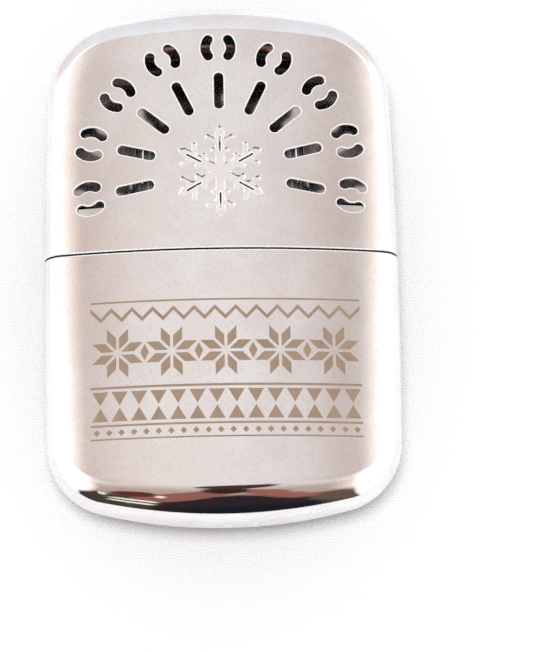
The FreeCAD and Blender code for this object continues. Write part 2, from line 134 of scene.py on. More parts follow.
def outline(form):
    """The outline from the right of the mouth, round the end, to the left of the mouth."""
    side = np.array([HALF - SIDE_BOW, 0.0])
    end = np.array([0.0, form["end"] - form["arch"]])
    span = np.hypot(*(end - side))
    unit = (end - side) / span
    from_side, from_end = SIDE_BOW - form["corner"], form["arch"] - form["corner"]
    along = (from_side**2 - from_end**2 + span**2) / (2 * span)
    across = math.sqrt(from_side**2 - along**2)
    corner = side + unit * along + np.array([-unit[1], unit[0]]) * across
    bow = math.atan2(*(corner - side)[::-1])
    tilt = math.atan2(*(corner - end)[::-1])
    start = math.asin((form["mouth"] + RIM) / SIDE_BOW)
    runs = [
        arc(side, SIDE_BOW, start, bow, SIDE_POINTS),
        arc(corner, form["corner"], bow, tilt, CORNER_POINTS),
        arc(end, form["arch"], tilt, math.pi / 2, END_POINTS),
    ]
    points = np.concatenate([runs[0][0], runs[1][0][1:], runs[2][0][1:]])
    rays = np.concatenate([runs[0][1], runs[1][1][1:], runs[2][1][1:]])
    mirror = np.array([-1.0, 1.0])
    return tuple(np.concatenate([half, half[-2::-1] * mirror]) for half in (points, rays))


for name, form in (("cap", CAP), ("tank", TANK)):
    line = outline(form)[0]
    print(name, "outline:", len(line), "points, end at", line[:, 1].max().round(2))


# %% The rolled edge
ROLL_SHARE = 0.9
ROLL_START = 4.4
ROLL_PASSES = 12
ROLL_RINGS = 16


def rolled_edge(form, front):
    """Rings of points and normals from the crowned face, round the roll, to the wall."""
    points, outward = outline(form)
    height = front_height(points[:, 0]) - back_height(points[:, 0])
    radius = np.full(len(points), ROLL_START)
    for _ in range(ROLL_PASSES):
        centre = points - radius[:, None] * outward
        lean = centre[:, 0] / (CROWN - radius) * outward[:, 0]
        radius = ROLL_SHARE * height / 2 / np.tan(np.arccos(lean) / 2)
    centre = points - radius[:, None] * outward
    reach = np.sqrt((CROWN - radius) ** 2 - centre[:, 0] ** 2)
    if front:
        level = FRONT_AXIS + reach
        face = np.stack([centre[:, 0], 0 * reach, reach], -1) / (CROWN - radius)[:, None]
    else:
        crowned = off_land(centre[:, 0])
        level = np.where(crowned > 0.5, BACK_AXIS - reach, radius)
        face = np.stack([centre[:, 0] * crowned, 0 * reach, -reach], -1)
        face /= np.linalg.norm(face, axis=1)[:, None]
    ball = np.column_stack([centre, level])
    wall = np.column_stack([outward, 0 * reach])
    turn = np.arccos((face * wall).sum(-1))[:, None]
    rays = []
    for share in np.linspace(0, 1, ROLL_RINGS):
        ray = np.sin((1 - share) * turn) * face + np.sin(share * turn) * wall
        rays.append(ray / np.sin(turn))
    return [ball + radius[:, None] * ray for ray in rays], rays, radius


radius = rolled_edge(CAP, True)[2]
print("roll radius:", radius.min().round(2), "mm at the sides")
print("roll radius:", radius[len(radius) // 2].round(2), "mm at the end")

# %% [markdown]
# ## Vents
#
# The cap is punched with a fan of straight slots and, round them, pairs of bent slots. A boolean
# would cut them, yet it leaves ragged shading on a mirror finish. Here the face is a flat
# triangulation whose edges follow every vent. It is lifted onto the crown afterwards, and each
# vent gets a rounded rim, which is what catches the light.

# %% Sizes of the fan
FAN = np.array([0.0, 15.45])
FAN_PITCH = math.radians(25.0)
VENT_ARMS = 4
SLOT_ORBIT = 16.35
SLOT_LENGTH = 7.3
KIDNEY_ORBIT = 25.2
KIDNEY_BEND = 2.9
KIDNEY_SPREAD = 0.45
KIDNEY_SWEEP = math.radians(36.0)
VENT_WIDTH = 1.8
print("the fan opens", round(math.degrees(2 * VENT_ARMS * FAN_PITCH)), "degrees")


# %% Outlines of the vents
BEND_POINTS, TIP_POINTS, INNER_POINTS, STRAIGHT_POINTS = 15, 13, 11, 9


def slot_outline(length, width):
    """A straight slot along the second axis, and the directions out of it."""
    bend = (length - width) / 2
    top = arc((0, bend), width / 2, 0, math.pi, BEND_POINTS)
    low = arc((0, -bend), width / 2, math.pi, 2 * math.pi, BEND_POINTS)
    share = np.linspace(0, 1, STRAIGHT_POINTS)[1:-1, None]
    left = top[0][-1] + (low[0][0] - top[0][-1]) * share
    points = np.concatenate([top[0], left, low[0], -left])
    sides = np.tile([1.0, 0.0], (len(share), 1))
    return points, np.concatenate([top[1], -sides, low[1], sides])


def kidney_outline(bend, sweep, width):
    """A slot bent round the origin, and the directions out of it."""
    tip = np.array([bend * math.cos(sweep), bend * math.sin(sweep)])
    outer = arc((0, 0), bend + width / 2, -sweep, sweep, BEND_POINTS)
    high = arc(tip, width / 2, sweep, sweep + math.pi, TIP_POINTS)
    inner = arc((0, 0), bend - width / 2, sweep, -sweep, INNER_POINTS)
    low = arc(tip * (1, -1), width / 2, math.pi - sweep, 2 * math.pi - sweep, TIP_POINTS)
    points = [outer[0], high[0][1:], inner[0][1:], low[0][1:-1]]
    rays = [outer[1], high[1][1:], -inner[1][1:], low[1][1:-1]]
    return np.concatenate(points), np.concatenate(rays)


def turned(points, angle):
    c, s = math.cos(angle), math.sin(angle)
    return points @ np.array([[c, s], [-s, c]])


print("points round a kidney:", len(kidney_outline(KIDNEY_BEND, KIDNEY_SWEEP, VENT_WIDTH)[0]))


# %% The fan
def placed(outline, shift, angle, side=1):
    """An outline moved out from the middle of the fan and turned, and the way into the hole."""
    points, rays = (part * (side, 1) for part in outline)
    return turned(points + shift, angle) + FAN, -turned(rays, angle)


def fan_of_vents():
    """Where the flat metal ends round each vent, and the way from there into the hole."""
    vents = []
    slot = slot_outline(SLOT_LENGTH + 2 * RIM, VENT_WIDTH + 2 * RIM)
    kidney = kidney_outline(KIDNEY_BEND, KIDNEY_SWEEP, VENT_WIDTH + 2 * RIM)
    for place in range(-VENT_ARMS, VENT_ARMS + 1):
        angle = -place * FAN_PITCH
        vents.append(placed(slot, (0, SLOT_ORBIT), angle))
        for side in (1, -1):
            vents.append(placed(kidney, (-side * KIDNEY_SPREAD, KIDNEY_ORBIT), angle, side))
    return vents


vents = fan_of_vents()
print("vents:", len(vents))

# %% [markdown]
# ## The stamped ornament
#
# In the middle of the fan the cap is stamped with a small picture: here a plain snowflake,
# pressed in with a flat floor and steep shoulders, and a slit along each arm. A bump in the
# finish would be cheaper, but a stamping has its own outline of light. So the shoulders are
# real: the outline is repeated a few times, each a little further in and a little deeper.

# %% The snowflake
FLAKE_DEPTH = 0.25
FLAKE_SHOULDER = 0.28
FLAKE_RIGHT = [
    (0.95, 1.65), (0.95, 3.4), (1.95, 3.98), (1.4, 4.93), (0.95, 4.67), (0.95, 5.5),
    (2.94, 6.65), (2.39, 7.6), (0.95, 6.77), (0.95, 8.1),
]  # fmt: skip
FLAKE_TIP = (0.0, 9.3)
FLAKE_ARMS = 6
SLIT_PLACE = 5.7
SLIT_LENGTH = 3.2
SLIT_WIDTH = 0.3
arm_turns = [2 * math.pi * number / FLAKE_ARMS for number in range(FLAKE_ARMS)]


def snowflake():
    """Six arms, each with its left side mirrored from the right."""
    right = np.array(FLAKE_RIGHT)
    arm = np.concatenate([right, [FLAKE_TIP], right[:0:-1] * (-1, 1)])
    return np.concatenate([turned(arm, turn) for turn in arm_turns]) + FAN


def offset(line, distance):
    """A closed outline moved inwards, with its corners kept sharp."""
    ahead = np.roll(line, -1, 0) - line
    ahead /= np.linalg.norm(ahead, axis=1)[:, None]
    in_ahead = np.stack([-ahead[:, 1], ahead[:, 0]], -1)
    in_behind = np.roll(in_ahead, 1, 0)
    mitre = (in_ahead + in_behind) / (1 + (in_ahead * in_behind).sum(-1))[:, None]
    return line + distance * mitre


def flake_depth(points):
    """How deep the stamping is under each point."""
    away = np.full(len(points), np.inf)
    for start, end in zip(flake, np.roll(flake, -1, 0)):
        run = end - start
        share = np.clip((points - start) @ run / (run @ run), 0, 1)
        away = np.minimum(away, np.hypot(*(points - start - share[:, None] * run).T))
    return FLAKE_DEPTH * smooth(away, 0, FLAKE_SHOULDER) * inside(points, flake)


def flake_slope(points, step=0.01):
    dx = flake_depth(points - (step, 0)) - flake_depth(points + (step, 0))
    dy = flake_depth(points - (0, step)) - flake_depth(points + (0, step))
    return np.stack([dx, dy, 0 * dx], -1) / (2 * step)


def flake_slits():
    slit = slot_outline(SLIT_LENGTH + 2 * RIM, SLIT_WIDTH + 2 * RIM)
    return [placed(slit, (0, SLIT_PLACE), turn) for turn in arm_turns]


def inside(points, polygon):
    """Whether each point lies in a polygon, by counting the edges that a ray crosses."""
    odd = np.zeros(len(points), bool)
    for (x0, y0), (x1, y1) in zip(polygon, np.roll(polygon, -1, 0)):
        crossed = (y0 > points[:, 1]) != (y1 > points[:, 1])
        with np.errstate(divide="ignore", invalid="ignore"):
            at = x0 + (points[:, 1] - y0) * (x1 - x0) / (y1 - y0)
        odd ^= crossed & (points[:, 0] < at)
    return odd


flake = snowflake()
shoulders = [offset(flake, share * FLAKE_SHOULDER) for share in (0, 0.25, 0.5, 0.75, 1)]
print("depth on an arm:", flake_depth(FAN + np.array([[0.0, 7.9]])).round(3), "mm")

# %% [markdown]
# ## The etched band
#
# Etching dulls the polish of the tank to a warm tan. The picture is a band in the manner of old
# knitting patterns: stars of eight petals, diamonds, zigzags and rows of pips. Painted as a
# texture it would blur up close. Its outlines are cut into the mesh of the face instead, so the
# etched metal is a finish of its own with an edge as sharp as the real one.

# %% Where the band sits
BAND_LEFT = -24.5
BAND_RIGHT = 25.5
BAND_SPAN = BAND_RIGHT - BAND_LEFT


def lozenge(x, y, half_width, half_height):
    return [(x - half_width, y), (x, y - half_height), (x + half_width, y), (x, y + half_height)]


def petal_star(x, y, reach):
    """Eight slanted petals round a centre."""
    petal = np.array([(0.06, 0.14), (0.06, 0.64), (0.42, 1.0), (0.42, 0.5)])
    both = [petal, petal[::-1, ::-1]]
    turns = [quarter * math.pi / 2 for quarter in range(4)]
    return [turned(p * reach, turn) + (x, y) for turn in turns for p in both]


def zigzag(y, teeth, rise, thick):
    """One band that climbs and falls from the left to the right."""
    xs = np.linspace(BAND_LEFT, BAND_RIGHT, 2 * teeth + 1)
    low = [(x, y - (rise if i % 2 else 0)) for i, x in enumerate(xs)]
    return low + [(x, level - thick) for x, level in low[::-1]]


def bar(y, thick, inset=0.0):
    left, right = BAND_LEFT + inset, BAND_RIGHT - inset
    return [(left, y), (left, y - thick), (right, y - thick), (right, y)]


def across(count):
    """Middles of equal steps from the left to the right of the band."""
    return BAND_LEFT + BAND_SPAN * (np.arange(count) + 0.5) / count


def band_shapes():
    """The outlines of everything that is etched, seen from the front."""
    shapes = [bar(-9.6, 0.35), zigzag(-10.8, 13, 2.0, 0.85)]
    for x in across(5):
        shapes += petal_star(x, -19.6, 4.7)
    shapes += [lozenge(x, -19.6, 0.8, 1.6) for x in across(5)[:-1] + BAND_SPAN / 10]
    shapes += [bar(-25.9, 0.45)]
    for x in across(14):
        shapes.append([(x - 1.5, -26.9), (x, -29.5), (x + 1.5, -26.9)])
        shapes.append([(x - 1.5, -32.5), (x + 1.5, -32.5), (x, -29.9)])
    pips = [lozenge(x, -34.6, 0.62, 0.62) for x in across(22)]
    shapes += [bar(-33.1, 0.4), *pips, bar(-35.7, 0.3)]
    return [np.array(shape) for shape in shapes]


band = band_shapes()
print("etched shapes:", len(band))


# %% Triangles that follow outlines
def grid_over(low, high, pitch):
    axes = [np.arange(a + pitch / 2, b, pitch) for a, b in zip(low, high)]
    return np.stack(np.meshgrid(*axes), -1).reshape(-1, 2)


def filling(edge, fixed, pitch):
    """Points to fill a face with, kept clear of its outlines."""
    grid = grid_over(edge.min(0), edge.max(0), pitch)
    tree = KDTree(len(fixed))
    for index, point in enumerate(fixed):
        tree.insert((*point, 0), index)
    tree.balance()
    clear = np.array([tree.find((*point, 0))[2] > 0.3 * pitch for point in grid])
    return grid[clear & inside(grid, edge)]


def short_steps(line, longest=1.0):
    """The same closed outline with no step longer than a given length."""
    runs = []
    for start, end in zip(line, np.roll(line, -1, 0)):
        parts = max(1, math.ceil(np.hypot(*(end - start)) / longest))
        runs.append(start + (end - start) * np.linspace(0, 1, parts, endpoint=False)[:, None])
    return np.concatenate(runs)


def cut_face(edge, holes, shapes, creases, pitch):
    """Triangles over a closed edge: open at the holes, and marked where they lie in a shape."""
    outlines = [edge, *holes, *(short_steps(line) for line in [*shapes, *creases])]
    starts = np.cumsum([0] + [len(line) for line in outlines])
    fixed = np.concatenate(outlines)
    links = []
    for start, line in zip(starts, outlines):
        links += [(start + i, start + (i + 1) % len(line)) for i in range(len(line))]
    points = np.concatenate([fixed, filling(edge, fixed, pitch)])
    made = delaunay_2d_cdt([Vector(p) for p in points], links, [], 0, 1e-6)
    where, triangles = np.array(made[0]), np.array(made[2])
    became = {old: new for new, olds in enumerate(made[3]) for old in olds}
    middle = where[triangles].mean(1)
    kept = inside(middle, edge)
    for hole in holes:
        kept &= ~inside(middle, hole)
    triangles, middle = triangles[kept], middle[kept]
    marked = np.zeros(len(triangles), bool)
    for shape in shapes:
        marked |= inside(middle, shape)
    loops = [[became[s + i] for i in range(len(line))] for s, line in zip(starts, [edge, *holes])]
    return where, triangles, marked, loops


print("the face is cut by a constrained triangulation")

# %% [markdown]
# ## From skin to sheet
#
# A pressed shell is one sheet of even thickness. The outer skin is built first: front face,
# roll, wall, roll and back face, which meet at shared points. The inner skin is the same points
# moved in along their normals, and half-round rims join the two at the mouth and at every vent.
# A Solidify modifier could do it too, but not with exact normals and a finish for each rim.


# %% A sheet of metal
class Sheet:
    # the fourth finish is a painted highlight on rims, the fifth is painted shade for the seam
    POLISHED, INSIDE, ETCHED, EDGE, SHEARED, STAMPED = range(6)

    def __init__(self):
        self.outer, self.inner, self.normals = [], [], []
        self.faces, self.finish, self.rims = [], [], []

    def add(self, points, normals, under=None):
        """Points of the outer skin; under is where the inner skin lies, if not right behind."""
        first = len(self.outer)
        self.outer += list(points)
        self.normals += list(normals)
        self.inner += list(points - SHEET * normals if under is None else under)
        return list(range(first, len(self.outer)))

    def face(self, corners, finish=POLISHED):
        self.faces.append(tuple(corners))
        self.finish.append(finish)

    def strip(self, first, second):
        for i in range(len(first) - 1):
            self.face((first[i], first[i + 1], second[i + 1], second[i]))

    def rim(self, loop, inward, finish):
        """A closed loop where the sheet ends, the way off it at each point, and two finishes."""
        self.rims.append((loop, inward, finish))


# %% Closing the sheet
def closed_mesh(sheet, steps=6):
    """All points, faces and normals of a sheet with its inner skin and rims."""
    outer, inner = np.array(sheet.outer), np.array(sheet.inner)
    normals = np.array(sheet.normals)
    normals /= np.linalg.norm(normals, axis=1)[:, None]
    count = len(outer)
    points, rays = [*outer, *inner], [*normals, *-normals]
    faces = sheet.faces + [tuple(i + count for i in face[::-1]) for face in sheet.faces]
    finish = sheet.finish + [Sheet.INSIDE] * len(sheet.faces)
    for loop, inward, rim_finish in sheet.rims:
        half = (outer[loop] - inner[loop]) / 2
        off = RIM * np.column_stack([inward, 0 * inward[:, 0]])
        last = list(loop)
        for step in range(1, steps + 1):
            angle = math.pi * step / steps
            if step < steps:
                away = half * math.cos(angle) + off * math.sin(angle)
                ring = list(range(len(points), len(points) + len(loop)))
                points += list(inner[loop] + half + away)
                rays += list(away / np.linalg.norm(away, axis=1)[:, None])
            else:
                ring = [i + count for i in loop]
            for i in range(len(loop)):
                j = (i + 1) % len(loop)
                faces.append((last[i], last[j], ring[j], ring[i]))
                # the third next to the face has the first finish, and the rest the second
                finish.append(rim_finish[step > steps / 3])
            last = ring
    return np.array(points), faces, np.array(rays), finish


def linked(name, data):
    thing = bpy.data.objects.new(name, data)
    scene.collection.objects.link(thing)
    return thing


def link_mesh(name, points, faces, finishes=(), finish=None, rays=None):
    """A mesh object from millimetres, with its faces turned outwards."""
    mesh = bpy.data.meshes.new(name)
    mesh.from_pydata((np.asarray(points) * MM).tolist(), [], faces)
    for material in finishes:
        mesh.materials.append(material)
    if finish is not None:
        mesh.polygons.foreach_set("material_index", np.array(finish, np.int32))
    shape = bmesh.new()
    shape.from_mesh(mesh)
    bmesh.ops.recalc_face_normals(shape, faces=shape.faces)
    loose = sum(1 for edge in shape.edges if len(edge.link_faces) != 2)
    shape.to_mesh(mesh)
    shape.free()
    mesh.polygons.foreach_set("use_smooth", np.ones(len(mesh.polygons), bool))
    if rays is not None:
        mesh.normals_split_custom_set_from_vertices(rays.tolist())
    print(name, "has", len(mesh.polygons), "faces and", loose, "open edges")
    return linked(name, mesh)


print("rims are half rounds of radius", RIM, "mm")


# %% The skin of one half
FRONT_PITCH, BACK_PITCH = 1.0, 2.0


def mouth_line(ring, pitch):
    """Points along the mouth from the left end of a ring back to its right end."""
    left, right = ring[-1][:2], ring[0][:2]
    share = np.linspace(0, 1, int((right[0] - left[0]) / pitch) + 1)[1:-1, None]
    return left + (right - left) * share


def half_shell(form, holes=(), shapes=(), creases=()):
    """One drawn half as a sheet, with its mouth towards the seam."""
    sheet = Sheet()
    front, front_rays, _ = rolled_edge(form, True)
    back, back_rays, _ = rolled_edge(form, False)
    count = len(front[0])
    edge = np.concatenate([front[0][:, :2], mouth_line(front[0], FRONT_PITCH)])
    gaps = [hole[0] for hole in holes]
    where, triangles, marked, loops = cut_face(edge, gaps, shapes, creases, FRONT_PITCH)
    plain = np.column_stack([where, front_height(where[:, 0])])
    rays = front_normal(where[:, 0])
    lift, lean = np.zeros_like(plain), np.zeros_like(plain)
    if len(creases):
        lift[:, 2] = -flake_depth(where)
        lean = flake_slope(where)
    middle = where[triangles].mean(1)
    stamped = inside(middle, creases[0]) if len(creases) else marked
    ids = np.array(sheet.add(plain + lift, rays - lean, plain + lift - SHEET * rays))
    finish = np.where(stamped, Sheet.STAMPED, Sheet.POLISHED)
    finish[marked] = Sheet.ETCHED
    for corners, kind in zip(ids[triangles], finish):
        sheet.face(corners, kind)
    for loop, (_, inward) in zip(loops[1:], holes):
        # vent rims are painted near white: a painted highlight
        sheet.rim(list(ids[loop]), inward, (Sheet.EDGE, Sheet.EDGE))
    rows = [list(ids[loops[0][:count]])]
    front_lip = list(ids[loops[0][count:]])

    for ring, ray in [*zip(front[1:], front_rays[1:]), *zip(back[:0:-1], back_rays[:0:-1])]:
        rows.append(sheet.add(ring, ray))
        sheet.strip(rows[-2], rows[-1])

    edge = np.concatenate([back[0][:, :2], mouth_line(back[0], BACK_PITCH)])
    where, triangles, _, loops = cut_face(edge, [], [], [], BACK_PITCH)
    plain = np.column_stack([where, back_height(where[:, 0])])
    ids = np.array(sheet.add(plain, back_normal(where[:, 0])))
    for corners in ids[triangles]:
        sheet.face(corners)
    rows.append(list(ids[loops[0][:count]]))
    sheet.strip(rows[-2], rows[-1])
    back_lip = list(ids[loops[0][count:]])
    mouth = [row[0] for row in rows] + back_lip[::-1] + [row[-1] for row in rows[::-1]] + front_lip
    # the cap's mouth rim is painted near black past its outer third, painted shade for the seam;
    # the tank's mouth rim is all painted highlight
    cut = Sheet.SHEARED if form["mouth"] else Sheet.EDGE
    sheet.rim(mouth, np.tile([0.0, -1.0], (len(mouth), 1)), (Sheet.EDGE, cut))
    return sheet


print("each roll has", ROLL_RINGS, "rings")

# %% [markdown]
# ## Painting with nodes
#
# Every finish below is worked out from the place on the object, so it needs no picture file and
# never stretches. A few helpers keep that short.

# %% Material helpers
def feed(tree, node, inputs):
    """Links each of the given inputs of a node to a socket, or sets it to a value."""
    for name, value in dict(inputs).items():
        if isinstance(value, bpy.types.NodeSocket):
            tree.links.new(value, node.inputs[name])
        else:
            node.inputs[name].default_value = value


def add(tree, kind, inputs=(), **settings):
    made = tree.nodes.new(kind)
    for key, value in settings.items():
        setattr(made, key, value)
    feed(tree, made, inputs)
    return made


def new_finish(name, metallic=0.0, roughness=0.5):
    """A material with its tree and its principled shader."""
    finish = bpy.data.materials.new(name)
    finish.use_nodes = True
    tree = finish.node_tree
    shader = tree.nodes["Principled BSDF"]
    feed(tree, shader, {"Metallic": metallic, "Roughness": roughness})
    return finish, tree, shader


def noise(tree, place, scale, detail=2.0, rough=0.5):
    inputs = {"Vector": place, "Scale": scale, "Detail": detail, "Roughness": rough}
    return add(tree, "ShaderNodeTexNoise", inputs).outputs["Fac"]


def stretch(tree, value, low, high, start, end):
    """Maps a value from one range to another."""
    inputs = {"Value": value, "From Min": low, "From Max": high, "To Min": start, "To Max": end}
    return add(tree, "ShaderNodeMapRange", inputs).outputs["Result"]


def calc(tree, operation, *values):
    return add(tree, "ShaderNodeMath", enumerate(values), operation=operation).outputs[0]


def blend(tree, share, *colours):
    """One colour turning into another as the share goes from 0 to 1."""
    first, second = ((*c, 1) if isinstance(c, tuple) else c for c in colours)
    inputs = {"Factor": share, 6: first, 7: second}
    return add(tree, "ShaderNodeMix", inputs, data_type="RGBA").outputs[2]


def tinted(tree, shader, value, dark, light):
    """Colours a finish by a noise, which seldom leaves the range from 0.3 to 0.7."""
    tint = blend(tree, stretch(tree, value, 0.3, 0.7, 0, 1), dark, light)
    feed(tree, shader, {"Base Color": tint})


def bump(tree, shader, height, depth):
    made = add(tree, "ShaderNodeBump", {"Strength": 1, "Distance": depth, "Height": height})
    feed(tree, shader, {"Normal": made.outputs["Normal"]})


def place_of(tree):
    return add(tree, "ShaderNodeTexCoord").outputs["Object"]


def crossed_waves(tree, place, operation, scale, distortion=0.0):
    """Threads or wires: waves one way and the other, joined by a piece of arithmetic."""
    inputs = {"Vector": place, "Scale": scale, "Distortion": distortion}
    waves = [add(tree, "ShaderNodeTexWave", inputs, bands_direction=way) for way in ("X", "Y")]
    return calc(tree, operation, *(wave.outputs["Fac"] for wave in waves))


def turned_oval(tree, vector, reach, middle=(0, 0), turn=0.0):
    """How far out a vector lies from the middle of an oval, whose edge counts as 1."""
    inputs = {"Vector": vector, "Location": (*middle, 0), "Scale": (*reach, 1)}
    inputs["Rotation"] = (0, 0, math.radians(turn))
    laid = add(tree, "ShaderNodeMapping", inputs, vector_type="TEXTURE")
    out = add(tree, "ShaderNodeVectorMath", {0: laid.outputs[0]}, operation="LENGTH")
    return out.outputs["Value"]


print("finishes are made from noise, ranges and bumps")

# %% [markdown]
# ## Polished plating
#
# The shells are plated and rubbed bright. Real polish isn't a perfect mirror: a cloth leaves
# short faint strokes and a few whorls, and the film of plating is slightly cloudy. Metal with a
# low roughness does the mirror, two noises make it cloudy between warm and cool, a noise that is
# stretched and turned lays the strokes, and rings that show in places are the whorls. The
# stamping wears a lighter and rougher coat of the same, because the die has dulled it.


# %% The polish
def strokes(tree, place, turn, scale=2600, length=3.0):
    """A noise stretched into short strokes that lie across the warmer at an angle."""
    inputs = {"Vector": place, "Rotation": (0, 0, math.radians(turn)), "Scale": (1, length, 1)}
    laid = add(tree, "ShaderNodeMapping", inputs, vector_type="TEXTURE")
    return noise(tree, laid.outputs[0], scale, 2, 0.6)


def whorls(tree, place):
    """Fine curved lines in a few places, as from a thumb or a turning cloth."""
    inputs = {"Vector": place, "Scale": 620, "Distortion": 14, "Detail": 1, "Detail Scale": 0.25}
    wave = add(tree, "ShaderNodeTexWave", inputs, wave_type="RINGS", rings_direction="Z")
    patches = stretch(tree, noise(tree, place, 75, 2), 0.46, 0.6, 0, 0.35)
    return calc(tree, "MULTIPLY", wave.outputs["Fac"], patches)


def polish(name, warm=(0.845, 0.82, 0.815), cool=(0.88, 0.895, 0.91), gloss=0.05):
    """Plating between a warm and a cool tone, with darker rubbing marks."""
    finish, tree, shader = new_finish(name, metallic=1)
    place = place_of(tree)
    wide, fine = noise(tree, place, 45, 2), noise(tree, place, 130, 4, 0.65)
    cloud = calc(tree, "MULTIPLY", calc(tree, "ADD", wide, fine), 0.5)
    left, right = strokes(tree, place, 34), strokes(tree, place, -28)
    rubbed = tuple(0.8 * c for c in warm)
    tint = blend(tree, stretch(tree, cloud, 0.43, 0.57, 0, 1), warm, cool)
    for stroke in (left, right):
        tint = blend(tree, stretch(tree, stroke, 0.52, 0.75, 0, 0.4), tint, rubbed)
    tint = blend(tree, whorls(tree, place), tint, rubbed)
    rough = stretch(tree, cloud, 0.3, 0.7, gloss, gloss + 0.03)
    feed(tree, shader, {"Base Color": tint, "Roughness": rough})
    bump(tree, shader, left, 0.0000008)
    return finish


polished = polish("shell_polish")
stamped_finish = polish("stamped_metal", (0.94, 0.93, 0.925), (0.98, 0.98, 0.98), 0.26)
print("polished plating ready")

# %% [markdown]
# ## Edges
#
# A punched edge isn't like the face round it. Every vent and slit, and the mouth of the tank, have
# their rim painted near white, a painted highlight for the thin bright outline that a rounded edge
# catches. The rim of the cap's mouth is painted near black past its outer third, painted shade for
# the dark crevice of the seam: that is why the seam is a black line. The mesh has real rims, so
# each only needs its finish.

# %% Bright and dark edges
def mottled(name, metallic, roughness, scale, dark, light, detail=2.0):
    """A finish that one noise makes slightly uneven."""
    finish, tree, shader = new_finish(name, metallic, roughness)
    tinted(tree, shader, noise(tree, place_of(tree), scale, detail), dark, light)
    return finish


# near white: a painted highlight for the bright outline of every rim
rim_highlight_finish = mottled("rim_painted_highlight", 0.1, 0.4, 900, (0.93, 0.925, 0.925), (1.0, 0.995, 0.99))
# near black: painted shade for the dark crevice of the seam
seam_shade_finish = mottled("seam_painted_shade", 0.8, 0.45, 700, (0.05, 0.042, 0.042), (0.10, 0.085, 0.08))
print("edge finishes ready")

# %% [markdown]
# ## Inside and etching
#
# The inside of the shells has the plating but no polish, so it is darker and a little rough. The
# etching has eaten the plating off: what is left hardly mirrors, is tan, and feels like fine
# sand, for which a bump of a few thousandths of a millimetre is enough.

# %% Inside of the shells and etched metal
def etched_metal():
    finish, tree, shader = new_finish("etched_metal", metallic=0.35, roughness=0.55)
    place = place_of(tree)
    tinted(tree, shader, noise(tree, place, 300, 3), (0.34, 0.245, 0.175), (0.40, 0.29, 0.213))
    bump(tree, shader, noise(tree, place, 9000, 1), 0.000004)
    return finish


inside_finish = mottled("inside_of_shell", 1, 0.11, 220, (0.50, 0.465, 0.46), (0.65, 0.62, 0.62), 3)
etched_finish = etched_metal()
print("inside and etched finishes ready")

# %% [markdown]
# ## Cap and tank
#
# The two halves now come out of the same function. The tank is built mouth up like the cap and
# then turned half a circle, which also turns its etched band, so the band's outlines are turned
# first to come out upright.

# %% Pressing the cap
# in the order of the numbers in Sheet
shell_finishes = [polished, inside_finish, etched_finish]
shell_finishes += [rim_highlight_finish, seam_shade_finish, stamped_finish]


def press(name, sheet, turn=(1, 1, 1)):
    points, faces, rays, finish = closed_mesh(sheet)
    return link_mesh(name, points * turn, faces, shell_finishes, finish, rays * turn)


cap = press("cap_skin", half_shell(CAP, vents + flake_slits(), creases=shoulders))
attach(cap, "cap")
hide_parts("cap_shell")

# %% Pressing the tank
half_turn = np.array([-1, -1, 1])
tank = press("tank_skin", half_shell(TANK, shapes=[-shape for shape in band]), half_turn)
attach(tank, "tank")
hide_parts("tank_shell")

# %% [markdown]
# ## Metal inside the cap
#
# The collar, the neck and the burner come in with the right shape, so they only need a finish:
# satin plating for the collar, raw brass for the neck, sheet that heat has tinted for the
# burner, and wire cloth for the gauze.


# %% Finishes of the inner metal
def worn_metal(name, dark, light, gloss, metal=1.0):
    """Cloudy metal, glossier where it is lighter."""
    finish, tree, shader = new_finish(name, metallic=metal)
    place = place_of(tree)
    cloud = noise(tree, place, 260, 4, 0.6)
    tinted(tree, shader, cloud, dark, light)
    feed(tree, shader, {"Roughness": stretch(tree, cloud, 0.3, 0.7, gloss + 0.08, gloss)})
    bump(tree, shader, noise(tree, place, 3000, 1), 0.000003)
    return finish


def wire_cloth(name):
    """The higher of two waves stands for the over and under of the wires."""
    finish, tree, shader = new_finish(name, metallic=1, roughness=0.4)
    wires = crossed_waves(tree, place_of(tree), "MAXIMUM", 900)
    # near black where both waves are low: painted shade in the gaps between the wires
    tint = blend(tree, wires, (0.05, 0.045, 0.04), (0.42, 0.40, 0.38))
    feed(tree, shader, {"Base Color": tint})
    bump(tree, shader, wires, 0.00012)
    return finish


def dress(node, finish):
    """Gives a node of the frame its finish, and leaves its mesh alone."""
    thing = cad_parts[node]
    for slot in thing.material_slots:
        slot.link = "OBJECT"
        slot.material = finish
    print(node, "wears", finish.name, "in", len(thing.material_slots), "slot")


collar_metal = worn_metal("collar_metal", (0.66, 0.66, 0.67), (0.80, 0.80, 0.81), 0.1)
burner_metal = worn_metal("burner_metal", (0.62, 0.61, 0.60), (0.86, 0.87, 0.88), 0.04, metal=0.8)
dress("tank_collar", collar_metal)
dress("filler_neck", worn_metal("neck_brass", (0.48, 0.37, 0.20), (0.72, 0.60, 0.38), 0.28))
dress("neck_screen", worn_metal("screen_metal", (0.40, 0.39, 0.37), (0.56, 0.55, 0.53), 0.35))
dress("burner_base", burner_metal)
dress("burner_cover", burner_metal)
dress("burner_gauze", wire_cloth("gauze_metal"))

# %% [markdown]
# ## Felt, cotton and fibre
#
# Three soft things fill the metal: the felt wick, the fibre mat of the burner and the cotton
# that holds the fuel. The first two are rounded blocks. The cotton is pressed into the tank, so
# it takes the tank's own skin, moved in. All three are pushed in and out by small lumps, so
# that no face stays as flat as a block's would.


# %% A soft finish
def fluff(name, dark, light, scale):
    finish, tree, shader = new_finish(name, roughness=0.95)
    threads = noise(tree, place_of(tree), scale, 5, 0.7)
    tinted(tree, shader, threads, dark, light)
    feed(tree, shader, {"Sheen Weight": 0.3})
    bump(tree, shader, threads, 0.0003)
    return finish


